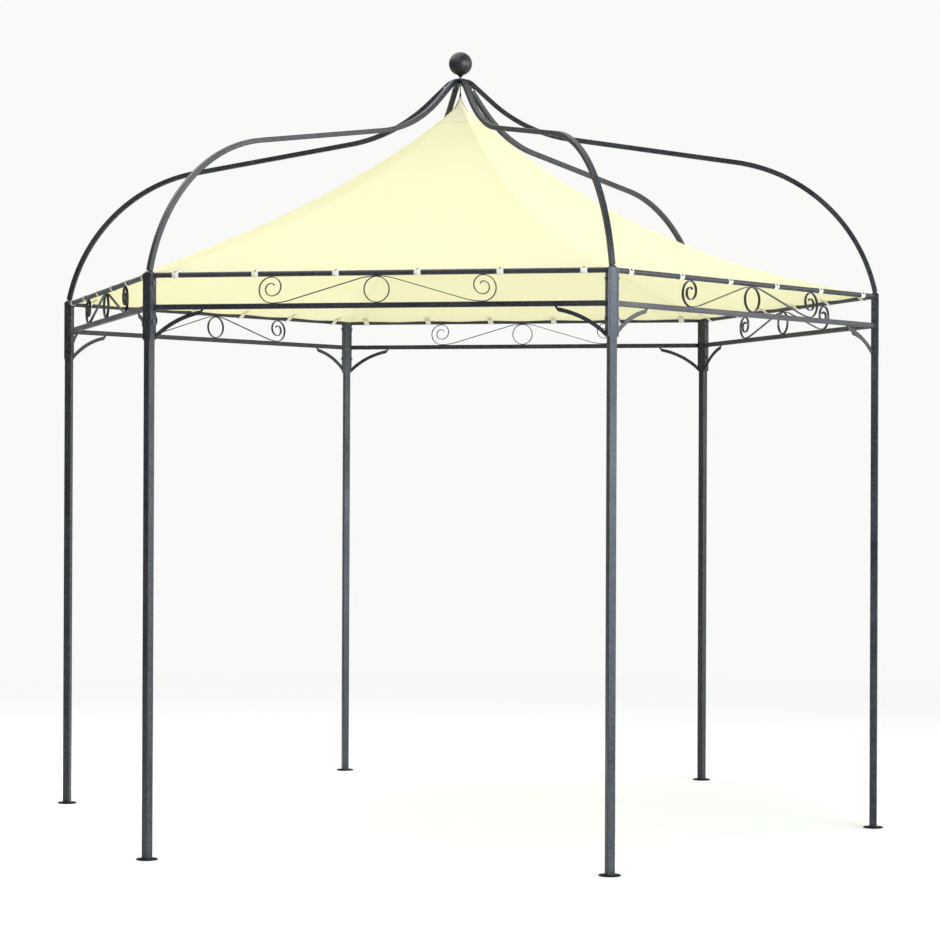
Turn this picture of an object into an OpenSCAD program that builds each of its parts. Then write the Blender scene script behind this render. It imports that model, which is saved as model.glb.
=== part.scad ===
/* [Posts and feet] */
// Radius of the circle through the six post centres
post_circle_r = 1750; // [1400:10:2200]
// Width of the square post tube
post_w = 30; // [28:1:45]
// Wall of the post tube
post_wall = 1.5; // [1:0.1:2.5]
// Height of the post tops above the ground
post_h = 2200; // [2050:10:2500]
// Radius of the outer corners of the square tubes
tube_corner_r = 2.5; // [1.5:0.5:3]
// Thickness of the plate that closes a post top
post_cap_t = 3; // [2:0.5:5]
// Width of the tapered cap at its top
post_cap_top_w = 18; // [16:0.5:20]
// Diameter of the round foot plate
foot_d = 80; // [70:1:110]
// Thickness of the foot plate
foot_t = 4; // [3:0.5:8]
// Diameter of the anchor holes in a foot plate
anchor_d = 9; // [6:0.5:11]
// Diameter of the circle through the anchor holes
anchor_pcd = 60; // [56:1:64]

/* [Side panels] */
// Drop from the post tops to the upper rail's centre
rail_top_drop = 10; // [5:1:15]
// Diameter of the round upper rail
upper_rail_d = 20; // [16:1:24]
// Drop from the upper rail's centre to the lower rail's centre
rail_drop = 120; // [100:1:160]
// Width of the square lower rail
lower_rail_w = 20; // [16:1:24]
// Wall of both rail tubes
rail_wall = 1.2; // [0.8:0.1:2]
// Thickness of the flat bar that ends a panel at a post
end_bar_t = 6; // [4:0.5:10]
// Length of the end bar below the lower rail's centre
end_bar_drop = 122; // [122:1:160]
// Distance of the upper end of the end bar below the post top
end_bar_top_gap = 2; // [0:0.5:6]

/* [Scrollwork] */
// Thickness of the scroll strip
strip_t = 3; // [2:0.5:5]
// Depth of the scroll strip across the panel
strip_w = 10; // [6:1:16]
// Distance of a volute from the middle of its side
volute_at = 400; // [300:5:550]
// Radius of the second turn of a volute
volute_r2 = 36.5; // [32:0.5:38]
// Radius of the third turn of a volute
volute_r3 = 25; // [20:0.5:26]
// Radius of the curl that ends a volute
volute_r4 = 11; // [8:0.5:14]
// Angle of the curl that ends a volute
volute_curl = 85; // [60:5:160]
// Radius of the two bends of the S-shaped bar
scroll_bend_r = 250; // [150:5:320]

/* [Corner brackets] */
// Width of the flat bracket bar in the panel's plane
bracket_w = 15; // [12:1:20]
// Thickness of the bracket bar across the panel
bracket_t = 5; // [4:0.5:10]
// Radius of the bracket's arch
bracket_r = 350; // [300:5:420]
// Reach of the bracket's tip from the post centre
bracket_reach = 197; // [170:1:240]
// Slope of the bracket at its tip
bracket_tip_slope = 11; // [6:1:16]
// Drop of the bracket's tip below the lower rail
bracket_tip_drop = 11; // [10:0.5:16]
// Lean of the tab that ties the tip to the rail
bracket_tab_run = 13; // [8:1:18]
// Width of that tab
bracket_tab_w = 9; // [6:1:12]

/* [Roof ribs] */
// Width of the square rib tube
rib_w = 20; // [16:1:22]
// Wall of the rib tube
rib_wall = 1.5; // [1:0.1:2.5]
// Lean of the rib's foot towards the middle
rib_lean = 12; // [8:0.5:15]
// Radius of the shoulder arc above the post
shoulder_r = 700; // [640:5:740]
// Slope of the straight stretch
rib_slope = 9; // [7:0.5:11]
// Radius of the reverse arc below the crown
sweep_r = 655; // [600:5:700]
// Length of the steep straight stretch below the crown
steep_len = 115; // [80:5:160]
// Radius of the bend into the crown
crown_bend_r = 45; // [35:1:60]
// Rise from the post tops to the rib's centre line at the crown
roof_rise = 921; // [860:1:1060]
// Bare length between a post top and the rib's end
foot_gap = 9; // [5:1:15]
// Diameter of the spigot that drops into a post
spigot_d = 13; // [10:0.5:14]
// Length of the spigot inside the post
spigot_len = 40; // [25:1:60]
// Length of straight rib below the joint of its two tubes
rib_joint_at = 160; // [80:5:300]
// Length of the sleeve inside that joint
rib_sleeve = 50; // [30:1:80]
// Open seam between the two tubes at that joint
rib_seam = 0.6; // [0.3:0.1:0.9]

/* [Crown] */
// Width of the hexagonal hub across its flats
hub_af = 44; // [40:1:60]
// Height of the hub
hub_h = 24; // [22:1:30]
// Diameter of the ball on top
ball_d = 99; // [70:1:110]
// Bare height of the neck between hub and ball
neck_h = 16; // [12:1:24]
// Diameter of the ball's threaded stud
stud_d = 8; // [6:0.5:10]
// Diameter of the ball's tapered collar
collar_d = 26; // [18:1:32]
// Height of that collar below the ball
collar_h = 8; // [4:1:10]
// Diameter of the canopy hook's wire
hook_wire_d = 4; // [3:0.5:6]
// Radius of the hook's eye, to the middle of the wire
hook_r = 10; // [9:0.5:14]
// Length of the hook's bare shank
hook_shank = 36; // [30:1:70]

/* [Canopy] */
// Thickness of the canopy sheet
canopy_t = 4; // [3:0.5:6]
// Sag of a canopy panel below its straight line
canopy_sag = 114; // [60:2:150]
// Drop from the crown's centre line to the canopy's tip
tip_drop = 91; // [88:1:160]
// Distance of the canopy's hem inside the rail's centre line
hem_inset = 20; // [17:1:40]
// Height of the hem above the rail's centre line
hem_rise = 5; // [2:1:10]
// Number of tie loops on each side
loops_per_side = 6; // [2:1:8]
// Distance between neighbouring loops
loop_pitch = 309; // [200:1:320]
// Width of a loop's strap
loop_w = 25; // [15:1:35]
// Thickness of a loop's strap
loop_t = 2; // [1.5:0.1:3]
// Width of the strap that holds the tip
tip_strap_w = 12; // [8:0.5:13]
// Spread of that strap's feet from the middle
tip_strap_spread = 18; // [16:1:30]

/* [Fits] */
// Clearance of a plug or pin in its hole
fit = 0.3; // [0.2:0.05:0.5]
// Clearance where curved pieces meet
seat = 0.3; // [0.2:0.05:0.5]
// Overlap that fuses neighbouring stretches of one tube or strip
lap = 0.5; // [0.3:0.1:1]
// Extra skin on a bend, so that a straight stretch ends inside its wall
bend_skin = 0.05; // [0.03:0.01:0.1]

/* [Hidden] */
$fn = 180;
long_arc_fn = 720;
sides = 6;
half_turn = 180 / sides;
corner_steps = 4;
side_len = 2 * post_circle_r * sin(half_turn);
apothem = post_circle_r * cos(half_turn);
post_face = post_w / 2 + end_bar_t;
upper_rail_z = post_h - rail_top_drop;
lower_rail_z = upper_rail_z - rail_drop;
lower_rail_top = lower_rail_z + lower_rail_w / 2;
lower_rail_low = lower_rail_z - lower_rail_w / 2;
upper_rail_low = upper_rail_z - upper_rail_d / 2;
end_bar_low = lower_rail_z - end_bar_drop;
end_bar_high = post_h - end_bar_top_gap;
// The cap stays clear of the leaning end of the rib
post_cap_rise = foot_gap - rib_w / 2 * sin(rib_lean) - 1;

// The scrolls fill the gap between the rails
scroll_mid = (lower_rail_top + upper_rail_low) / 2;
scroll_r = (upper_rail_low - lower_rail_top) / 2 - seat;
ring_r = scroll_r - strip_t / 4;
bend_mid_r = scroll_bend_r - strip_t / 2;
bend_rise = 2 * scroll_r - 2 * scroll_bend_r;
bend_span = norm([volute_at, bend_rise]);
bar_slope = atan2(bend_rise, volute_at) + asin(2 * bend_mid_r / bend_span);
bar_start = [bend_mid_r * sin(bar_slope), scroll_bend_r - bend_mid_r * cos(bar_slope)];
bar_end = [volute_at - bend_mid_r * sin(bar_slope),
           2 * scroll_r - scroll_bend_r + bend_mid_r * cos(bar_slope)];
bar_len = norm(bar_end - bar_start);

// The rib's centre line: radius from the axis, then height
crown_z = post_h + roof_rise;
rib_foot = [post_circle_r, post_h + foot_gap];
rib_head = [hub_af / 2, crown_z];
foot_slope = 90 - rib_lean;
function along(slope, length) = [-length * cos(slope), length * sin(slope)];
function across(slope, radius) = [radius * sin(slope), radius * cos(slope)];
shoulder_c = rib_foot - across(foot_slope, shoulder_r);
run_start = shoulder_c + across(rib_slope, shoulder_r);
joint_p = run_start + along(rib_slope, rib_joint_at);
seam_p = joint_p + along(rib_slope, rib_seam);

// The straight's length and the steep slope are solved so that the rib always meets the hub
bends_r = sweep_r + crown_bend_r;
in_left = run_start[0] - rib_head[0] + sweep_r * sin(rib_slope);
up_left = rib_head[1] - run_start[1] - sweep_r * cos(rib_slope) - crown_bend_r;
off_run = up_left * cos(rib_slope) - in_left * sin(rib_slope);
past_run = sqrt(bends_r * bends_r + steep_len * steep_len - off_run * off_run);
run_len = in_left * cos(rib_slope) + up_left * sin(rib_slope) - past_run;
rib_steep = atan2(up_left - run_len * sin(rib_slope), in_left - run_len * cos(rib_slope))
    + atan2(bends_r, steep_len);
run_end = run_start + along(rib_slope, run_len);
sweep_c = run_end + across(rib_slope, sweep_r);
rise_start = sweep_c - across(rib_steep, sweep_r);
rise_end = rise_start + along(rib_steep, steep_len);
crown_c = rise_end - across(rib_steep, crown_bend_r);

// The crown is stacked on the hub
hub_top = crown_z + hub_h / 2;
hub_low = crown_z - hub_h / 2;
ball_z = hub_top + neck_h + ball_d / 2;
hook_eye_z = hub_low - hook_shank - hook_r;
hook_inner_r = hook_r - hook_wire_d / 2;
hook_hold_z = hook_eye_z - sqrt(hook_inner_r * hook_inner_r - tip_strap_w * tip_strap_w / 4) + seat;

// A canopy panel's middle line is one arc from hem to tip
hem_p = [apothem - hem_inset, upper_rail_z + hem_rise];
tip_p = [0, crown_z - tip_drop];
canopy_chord = norm(tip_p - hem_p);
canopy_r = (canopy_chord * canopy_chord / 4 + canopy_sag * canopy_sag) / (2 * canopy_sag);
canopy_up = [tip_p[1] - hem_p[1], hem_p[0] - tip_p[0]] / canopy_chord;
canopy_c = (hem_p + tip_p) / 2 + canopy_up * (canopy_r - canopy_sag);
hem_angle = 360 + atan2(hem_p[1] - canopy_c[1], hem_p[0] - canopy_c[0]);
tip_angle = 360 + atan2(tip_p[1] - canopy_c[1], tip_p[0] - canopy_c[0]);
// Height of the sheet's upper face at a distance along the panel's middle
function canopy_z(x) = canopy_c[1] - sqrt(canopy_r * canopy_r - (x - canopy_c[0]) * (x - canopy_c[0]));
strap_foot_z = canopy_z(tip_strap_spread * cos(half_turn)) + seat;

CORNERS = [["right", 0], ["back_right", 60], ["back_left", 120],
           ["left", 180], ["front_left", 240], ["front_right", 300]];
SIDES = [["back_right", 30], ["back", 90], ["back_left", 150],
         ["front_left", 210], ["front", 270], ["front_right", 330]];

module at_corner(angle) {
    rotate([0, 0, angle])
        translate([post_circle_r, 0, 0])
            children();
}

module at_side(angle) {
    rotate([0, 0, angle])
        translate([apothem, 0, 0])
            children();
}

// Stands a flat outline up in a panel's plane
module upright(depth) {
    rotate([90, 0, 90])
        linear_extrude(height = depth, center = true)
            children();
}

// A flat strip bent round the origin from one angle to another
module arc_strip(r_out, t, from, to, longer = 0, skin = 0) {
    more = asin(longer / r_out);
    turn = to - from + 2 * more;
    steps = ceil(turn / 45);
    reach = r_out / cos(turn / steps / 2) + t;
    pie = [for (i = [0 : steps]) let (a = from - more + turn * i / steps) reach * [cos(a), sin(a)]];
    intersection() {
        difference() {
            circle(r = r_out + skin);
            circle(r = r_out - t - skin);
        }
        polygon(concat([[0, 0]], pie));
    }
}

// Cuts a piece of a side panel off at the faces of its two end bars
module between_end_bars() {
    cut = 4 * post_w;
    difference() {
        children();
        for (end = [0, 1])
            mirror([0, end, 0])
                translate([0, side_len / 2, 0])
                    rotate([0, 0, half_turn])
                        translate([-cut, -post_face, 0])
                            cube([2 * cut, 2 * cut, post_h + cut]);
    }
}

module rounded_square(w, r) {
    corner = w / 2 - r;
    polygon([for (i = [0 : 3])
        for (k = [0 : corner_steps])
            let (turn = 90 * i + 90 * k / corner_steps, middle = 90 * i + 45)
                corner * sqrt(2) * [cos(middle), sin(middle)] + r * [cos(turn), sin(turn)]]);
}

module square_tube(w, wall, corner_r) {
    difference() {
        rounded_square(w, corner_r);
        rounded_square(w - 2 * wall, max(fit, corner_r - wall));
    }
}

// The tapered cap on a post top, cut from two crossed wedges
module post_cap() {
    low = post_h - post_cap_t / 2;
    high = post_h + post_cap_rise;
    low_w = post_w / 2 - tube_corner_r / 2;
    high_w = post_cap_top_w / 2;
    intersection_for (turn = [0, 90])
        rotate([90, 0, turn])
            linear_extrude(height = 2 * post_w, center = true)
                polygon([[-low_w, low], [low_w, low], [high_w, high], [-high_w, high]]);
}

module post(angle) {
    color("#3a3c40")
        at_corner(angle)
            difference() {
                union() {
                    translate([0, 0, foot_t])
                        linear_extrude(height = post_h - foot_t)
                            square_tube(post_w, post_wall, tube_corner_r);
                    translate([0, 0, post_h - post_cap_t])
                        linear_extrude(height = post_cap_t)
                            rounded_square(post_w, tube_corner_r);
                    post_cap();
                }
                translate([0, 0, post_h - 2 * post_cap_t])
                    cylinder(d = spigot_d + 2 * fit, h = 3 * post_cap_t + foot_gap);
            }
}

module foot_plates() {
    color("#3a3c40")
        for (corner = CORNERS)
            at_corner(corner[1])
                difference() {
                    cylinder(d = foot_d, h = foot_t);
                    for (way = [-1, 1])
                        translate([0, way * anchor_pcd / 2, -foot_t])
                            cylinder(d = anchor_d, h = 3 * foot_t);
                }
}

module panel_end_bars() {
    color("#34363a")
        for (corner = CORNERS)
            at_corner(corner[1])
                for (way = [0, 1])
                    mirror([0, way, 0])
                        translate([-post_w / 2, post_w / 2, end_bar_low])
                            cube([post_w, end_bar_t, end_bar_high - end_bar_low]);
}

module upper_rail(angle) {
    color("#4b4e54")
        at_side(angle)
            between_end_bars()
                translate([0, -side_len / 2, upper_rail_z])
                    rotate([-90, 0, 0])
                        difference() {
                            cylinder(d = upper_rail_d, h = side_len);
                            cylinder(d = upper_rail_d - 2 * rail_wall, h = side_len);
                        }
}

module lower_rail(angle) {
    color("#4b4e54")
        at_side(angle)
            between_end_bars()
                translate([0, -side_len / 2, lower_rail_z])
                    rotate([-90, 0, 0])
                        linear_extrude(height = side_len)
                            square_tube(lower_rail_w, rail_wall, tube_corner_r);
}

// Half of a panel's scroll: a volute of shrinking half turns and its S-shaped bar
module half_scroll() {
    second_z = scroll_r - volute_r2;
    third_z = second_z - volute_r2 + volute_r3;
    curl_z = third_z + volute_r3 - volute_r4;
    bar_t = strip_t + 2 * bend_skin;
    translate([-volute_at, 0]) {
        arc_strip(scroll_r, strip_t, 90, 270, lap, bend_skin);
        translate([0, second_z])
            arc_strip(volute_r2, strip_t, -90, 90, lap);
        translate([0, third_z])
            arc_strip(volute_r3, strip_t, 90, 270, lap, bend_skin);
        translate([0, curl_z])
            arc_strip(volute_r4, strip_t, 90 - volute_curl, 90, lap);
        translate([0, scroll_bend_r - scroll_r])
            arc_strip(scroll_bend_r, strip_t, -90, bar_slope - 90, lap);
        translate(bar_start - [0, scroll_r])
            rotate(bar_slope)
                translate([-lap, -bar_t / 2])
                    square([bar_len + 2 * lap, bar_t]);
    }
}

module scrollwork(angle) {
    color("#2c2e33")
        at_side(angle)
            translate([0, 0, scroll_mid])
                upright(strip_w) {
                    translate([0, ring_r - scroll_r])
                        difference() {
                            circle(r = ring_r);
                            circle(r = ring_r - strip_t);
                        }
                    translate([0, scroll_r - scroll_bend_r])
                        arc_strip(scroll_bend_r, strip_t, 90 - bar_slope, 90 + bar_slope, lap);
                    half_scroll();
                    mirror([1, 0])
                        half_scroll();
                }
}

// Outline of a bracket, with the post centre at the left end
module bracket_outline() {
    tip = [bracket_reach, lower_rail_low - bracket_tip_drop];
    arch_c = tip + bracket_r * [sin(bracket_tip_slope), -cos(bracket_tip_slope)];
    foot_turn = asin(min(1, (arch_c[0] + bracket_w) / bracket_r));
    corner = tip + bracket_w / 2 * [sin(bracket_tip_slope), -cos(bracket_tip_slope)];
    back = tip - bracket_w / 2 * [cos(bracket_tip_slope), sin(bracket_tip_slope)];
    translate(arch_c)
        arc_strip(bracket_r + bracket_w / 2, bracket_w, 90 + bracket_tip_slope, 90 + foot_turn, lap);
    polygon([back, corner, [corner[0] + bracket_tab_run, lower_rail_low],
             [corner[0] + bracket_tab_run - bracket_tab_w, lower_rail_low]]);
}

module corner_brackets() {
    color("#303237")
        for (side = SIDES)
            at_side(side[1])
                between_end_bars()
                    for (end = [0, 1])
                        mirror([0, end, 0])
                            translate([0, -side_len / 2, 0])
                                upright(bracket_t)
                                    bracket_outline();
}

// A stretch of rib bent round a centre in the rib's upright plane
module rib_arc(centre, r, from, to) {
    translate([centre[0], 0, centre[1]])
        rotate([90, 0, 0])
            rotate([0, 0, from])
                rotate_extrude(angle = to - from)
                    translate([r, 0])
                        square_tube(rib_w + 2 * bend_skin, rib_wall + 2 * bend_skin,
                                    tube_corner_r + bend_skin);
}

// A straight stretch of tube that starts at a point of the rib, lengthened where a bend joins it
module rib_straight(start, slope, length, w, wall, corner_r, before = 0, after = 0) {
    translate([start[0], 0, start[1]])
        rotate([0, slope - 90, 0])
            translate([0, 0, -before])
                linear_extrude(height = before + length + after)
                    square_tube(w, wall, corner_r);
}

module lower_rib(angle) {
    color("#3d4045")
        rotate([0, 0, angle]) {
            rib_arc(shoulder_c, shoulder_r, 90 - foot_slope, 90 - rib_slope);
            rib_straight(run_start, rib_slope, rib_joint_at, rib_w, rib_wall, tube_corner_r, before = lap);
            translate([rib_foot[0], 0, rib_foot[1]])
                rotate([0, foot_slope - 90, 0])
                    linear_extrude(height = 2 * rib_wall)
                        rounded_square(rib_w, tube_corner_r);
            translate([rib_foot[0], 0, post_h - spigot_len])
                cylinder(d = spigot_d, h = spigot_len + foot_gap + rib_wall);
        }
}

module upper_rib(angle) {
    sleeve_w = rib_w - 2 * rib_wall - 2 * fit;
    sleeve_start = joint_p - along(rib_slope, rib_sleeve / 2);
    liner_start = seam_p + along(rib_slope, rib_wall);
    color("#3d4045")
        rotate([0, 0, angle]) {
            rib_straight(seam_p, rib_slope, run_len - rib_joint_at - rib_seam, rib_w, rib_wall, tube_corner_r,
                         after = lap);
            rib_straight(sleeve_start, rib_slope, rib_sleeve, sleeve_w, rib_wall, fit);
            rib_straight(liner_start, rib_slope, rib_sleeve / 4, rib_w - rib_wall, rib_wall + fit,
                         tube_corner_r - rib_wall / 2);
            rib_arc(sweep_c, sweep_r, 270 - rib_steep, 270 - rib_slope);
            rib_straight(rise_start, rib_steep, steep_len, rib_w, rib_wall, tube_corner_r, before = lap,
                         after = lap);
            rib_arc(crown_c, crown_bend_r, 90 - rib_steep, 90);
        }
}

module crown_hub() {
    color("#303237")
        difference() {
            translate([0, 0, hub_low])
                rotate([0, 0, half_turn])
                    cylinder(d = hub_af / cos(half_turn), h = hub_h, $fn = sides);
            translate([0, 0, crown_z])
                cylinder(d = stud_d + 2 * fit, h = hub_h);
            translate([0, 0, crown_z - hub_h])
                cylinder(d = hook_wire_d + 2 * fit, h = hub_h);
        }
}

module ball_finial() {
    collar_sink = ball_d / 2 - sqrt(ball_d * ball_d - collar_d * collar_d) / 2;
    color("#1d1f21") {
        translate([0, 0, ball_z])
            sphere(d = ball_d);
        translate([0, 0, ball_z - ball_d / 2 - collar_h])
            cylinder(d1 = stud_d + lap, d2 = collar_d, h = collar_h + collar_sink);
        translate([0, 0, crown_z + fit])
            cylinder(d = stud_d, h = hub_h / 2 + neck_h - collar_h / 2);
    }
}

module canopy_hook() {
    color("#2b2d30") {
        translate([0, 0, hook_eye_z + hook_r])
            cylinder(d = hook_wire_d, h = crown_z - hook_eye_z - hook_r - fit);
        translate([0, 0, hook_eye_z])
            rotate([90, 0, 90])
                rotate_extrude()
                    translate([hook_r, 0])
                        circle(d = hook_wire_d);
    }
}

module canopy_panel(angle) {
    wedge = apothem * 2;
    color("#fbf9cf")
        rotate([0, 0, angle])
            intersection() {
                rotate([90, 0, 0])
                    linear_extrude(height = side_len, center = true)
                        translate(canopy_c)
                            arc_strip(canopy_r + canopy_t, canopy_t, tip_angle, hem_angle, $fn = long_arc_fn);
                linear_extrude(height = crown_z)
                    polygon([[0, 0], wedge * [1, -tan(half_turn)], wedge * [1, tan(half_turn)]]);
            }
}

// Outline of a tie loop: a band round the rail and a tab to the hem
module loop_outline() {
    rail_c = [apothem, upper_rail_z];
    band_r = upper_rail_d / 2 + seat + loop_t;
    hem_out = [cos(hem_angle), sin(hem_angle)];
    difference() {
        union() {
            translate(rail_c)
                circle(r = band_r);
            polygon([canopy_c + canopy_r * hem_out, canopy_c + (canopy_r + canopy_t) * hem_out,
                     rail_c - [band_r - loop_t / 2, 0], rail_c - [band_r - loop_t, -canopy_t]]);
        }
        translate(rail_c)
            circle(r = upper_rail_d / 2 + seat);
    }
}

module canopy_loops() {
    color("#efe6d8")
        for (side = SIDES)
            rotate([0, 0, side[1]])
                for (i = [0 : loops_per_side - 1])
                    translate([0, (i - (loops_per_side - 1) / 2) * loop_pitch, 0])
                        rotate([90, 0, 0])
                            linear_extrude(height = loop_w, center = true)
                                loop_outline();
}

module canopy_tip_strap() {
    top = hook_hold_z + loop_t;
    shoulder = hook_wire_d / 2 + seat + loop_t;
    color("#efe6d8")
        rotate([90, 0, 0])
            linear_extrude(height = tip_strap_w, center = true)
                difference() {
                    polygon([[-tip_strap_spread, strap_foot_z], [-shoulder, top],
                             [shoulder, top], [tip_strap_spread, strap_foot_z]]);
                    polygon([[-tip_strap_spread + loop_t, strap_foot_z - loop_t],
                             [-shoulder + loop_t, hook_hold_z], [shoulder - loop_t, hook_hold_z],
                             [tip_strap_spread - loop_t, strap_foot_z - loop_t]]);
                }
}

for (corner = CORNERS) {
    post(corner[1]);
    lower_rib(corner[1]);
    upper_rib(corner[1]);
}
for (side = SIDES) {
    upper_rail(side[1]);
    lower_rail(side[1]);
    scrollwork(side[1]);
    canopy_panel(side[1]);
}
foot_plates();
panel_end_bars();
corner_brackets();
crown_hub();
ball_finial();
canopy_hook();
canopy_loops();
canopy_tip_strap();
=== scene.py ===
"""Looks of a hexagonal garden gazebo: a powder-coated steel frame and a hung cream canopy."""

import logging
import math
from dataclasses import dataclass, field
from enum import Enum
from typing import Sequence

import bpy
import numpy as np
from bpy.types import Material, Node, NodeSocket, NodeTree, Object, World
from mathutils import Matrix, Vector, noise


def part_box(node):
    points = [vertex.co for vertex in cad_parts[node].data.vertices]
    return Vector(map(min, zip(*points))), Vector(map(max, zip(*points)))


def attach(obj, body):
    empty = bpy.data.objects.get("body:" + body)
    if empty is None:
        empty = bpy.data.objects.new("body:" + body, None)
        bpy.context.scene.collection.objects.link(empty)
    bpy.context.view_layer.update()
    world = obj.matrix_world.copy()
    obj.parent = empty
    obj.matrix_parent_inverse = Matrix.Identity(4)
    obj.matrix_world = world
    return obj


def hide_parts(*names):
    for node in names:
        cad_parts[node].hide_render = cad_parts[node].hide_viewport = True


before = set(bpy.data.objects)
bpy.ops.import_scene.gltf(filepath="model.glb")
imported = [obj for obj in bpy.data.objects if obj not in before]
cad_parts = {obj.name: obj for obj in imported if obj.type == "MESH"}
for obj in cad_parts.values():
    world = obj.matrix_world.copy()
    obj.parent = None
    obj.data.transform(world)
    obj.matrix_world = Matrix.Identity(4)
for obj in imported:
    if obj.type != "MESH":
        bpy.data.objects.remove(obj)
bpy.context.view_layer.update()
log = logging.getLogger("gazebo")

BODY = "root"
UV_MAP = "UVMap"
PLIES = "plies"
FACING = "facing"
MM = 0.001
SIDES = 6
HALF_SIDE = 180 // SIDES
HALF_TURN = math.radians(180 / SIDES)
UP = Vector((0, 0, 1))
FIT = 0.3 * MM  # room between a strap and what it goes round
STRIP = 2  # metres from gore to gore on the canopy's UV map
NOISE_SPAN = (0.3, 0.7)  # where most values of a Noise Texture lie
WAVE_RATE = 20  # radians of a Wave Texture to one unit, at a scale of 1

Colour = tuple[float, float, float]
Span = tuple[float, float]


class Corner(Enum):
    """A post's place on the hexagon, by its angle in degrees from the right-hand post."""

    RIGHT = 0
    BACK_RIGHT = 60
    BACK_LEFT = 120
    LEFT = 180
    FRONT_LEFT = 240
    FRONT_RIGHT = 300


class Side(Enum):
    """A side of the hexagon, by the angle in degrees of its middle."""

    BACK_RIGHT = 30
    BACK = 90
    BACK_LEFT = 150
    FRONT_LEFT = 210
    FRONT = 270
    FRONT_RIGHT = 330


def node_name(piece: str, place: Enum) -> str:
    """Returns the name of the frame's node for a piece at a corner or a side."""
    return f"{piece}_{place.name.lower()}"


def outward(degrees: float) -> Vector:
    """Returns the level direction away from the axis at an angle."""
    turn = math.radians(degrees)
    return Vector((math.cos(turn), math.sin(turn), 0))


def sideways(degrees: float) -> Vector:
    """Returns the level direction along the hexagon at an angle."""
    return outward(degrees + 90)


def axes(side: Side) -> tuple[np.ndarray, np.ndarray]:
    """Returns a side's outward direction and the direction along it."""
    return np.array(outward(side.value)), np.array(sideways(side.value))


class Graph:
    """A shader or geometry tree that is being built."""

    def __init__(self, tree: NodeTree) -> None:
        """Keeps the tree."""
        self.tree = tree

    def feed(self, socket: NodeSocket, value: object) -> None:
        """Links an output to an input socket, or sets the input's value.

        Args:
            socket: The input.
            value: The output to link, or the value.
        """
        if isinstance(value, NodeSocket):
            self.tree.links.new(value, socket)
        else:
            socket.default_value = value

    def node(self, kind: str, settings: dict | None = None, **inputs: object) -> Node:
        """Adds a node.

        Args:
            kind: The node's type.
            settings: Properties of the node itself.
            **inputs: Values or outputs for its inputs, by name, with _ for a space.

        Returns:
            The new node.
        """
        made = self.tree.nodes.new(kind)
        for name, value in (settings or {}).items():
            setattr(made, name, value)
        for name, value in inputs.items():
            self.feed(made.inputs[name.replace("_", " ")], value)
        return made

    def fill(self, kind: str, operation: str | None, *values: object) -> Node:
        """Adds a node whose inputs are given in their own order.

        Args:
            kind: The node's type.
            operation: What it does, if it has a choice, such as MULTIPLY.
            *values: Values or outputs for its first inputs.

        Returns:
            The new node.
        """
        made = self.node(kind, {"operation": operation} if operation else None)
        for socket, value in zip(made.inputs, values):
            self.feed(socket, value)
        return made

    def calc(self, operation: str, first: object, second: object) -> NodeSocket:
        """Returns the output of a Math node on two numbers or outputs."""
        return self.fill("ShaderNodeMath", operation, first, second).outputs[0]

    def spread(self, value: object, span: Span, to: Span = (0, 1)) -> NodeSocket:
        """Returns an output with its span mapped to another span."""
        return self.fill("ShaderNodeMapRange", None, value, *span, *to).outputs[0]

    def cloud(self, place: object, scale: float, detail: float) -> NodeSocket:
        """Returns the value of a Noise Texture at a place."""
        made = self.node("ShaderNodeTexNoise", Vector=place, Scale=scale, Detail=detail)
        return made.outputs["Fac"]

    def blend(self, share: object, first: object, second: object) -> NodeSocket:
        """Returns a mix of two shaders, with the second one's share."""
        return self.fill("ShaderNodeMixShader", None, share, first, second).outputs["Shader"]

    def tint(self, share: object, first: object, second: object) -> NodeSocket:
        """Mixes two colours.

        Args:
            share: How much of the second colour shows.
            first: The first colour.
            second: The second colour.

        Returns:
            The mixed colour's output.
        """
        made = self.node("ShaderNodeMix", {"data_type": "RGBA"})
        factor, a, b = made.inputs[0], made.inputs[6], made.inputs[7]
        self.feed(factor, share)
        for socket, colour in ((a, first), (b, second)):
            linked = isinstance(colour, NodeSocket)
            self.feed(socket, colour if linked else (*colour, 1))
        return made.outputs[2]


def cleared(owner: Material | World) -> Graph:
    """Empties a node tree.

    Args:
        owner: The material or world that has the tree.

    Returns:
        The tree's graph.
    """
    owner.use_nodes = True
    owner.node_tree.nodes.clear()
    return Graph(owner.node_tree)


def new_material(name: str) -> tuple[Material, Graph]:
    """Returns an empty material and the graph of its tree."""
    material = bpy.data.materials.new(name)
    return material, cleared(material)


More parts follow.
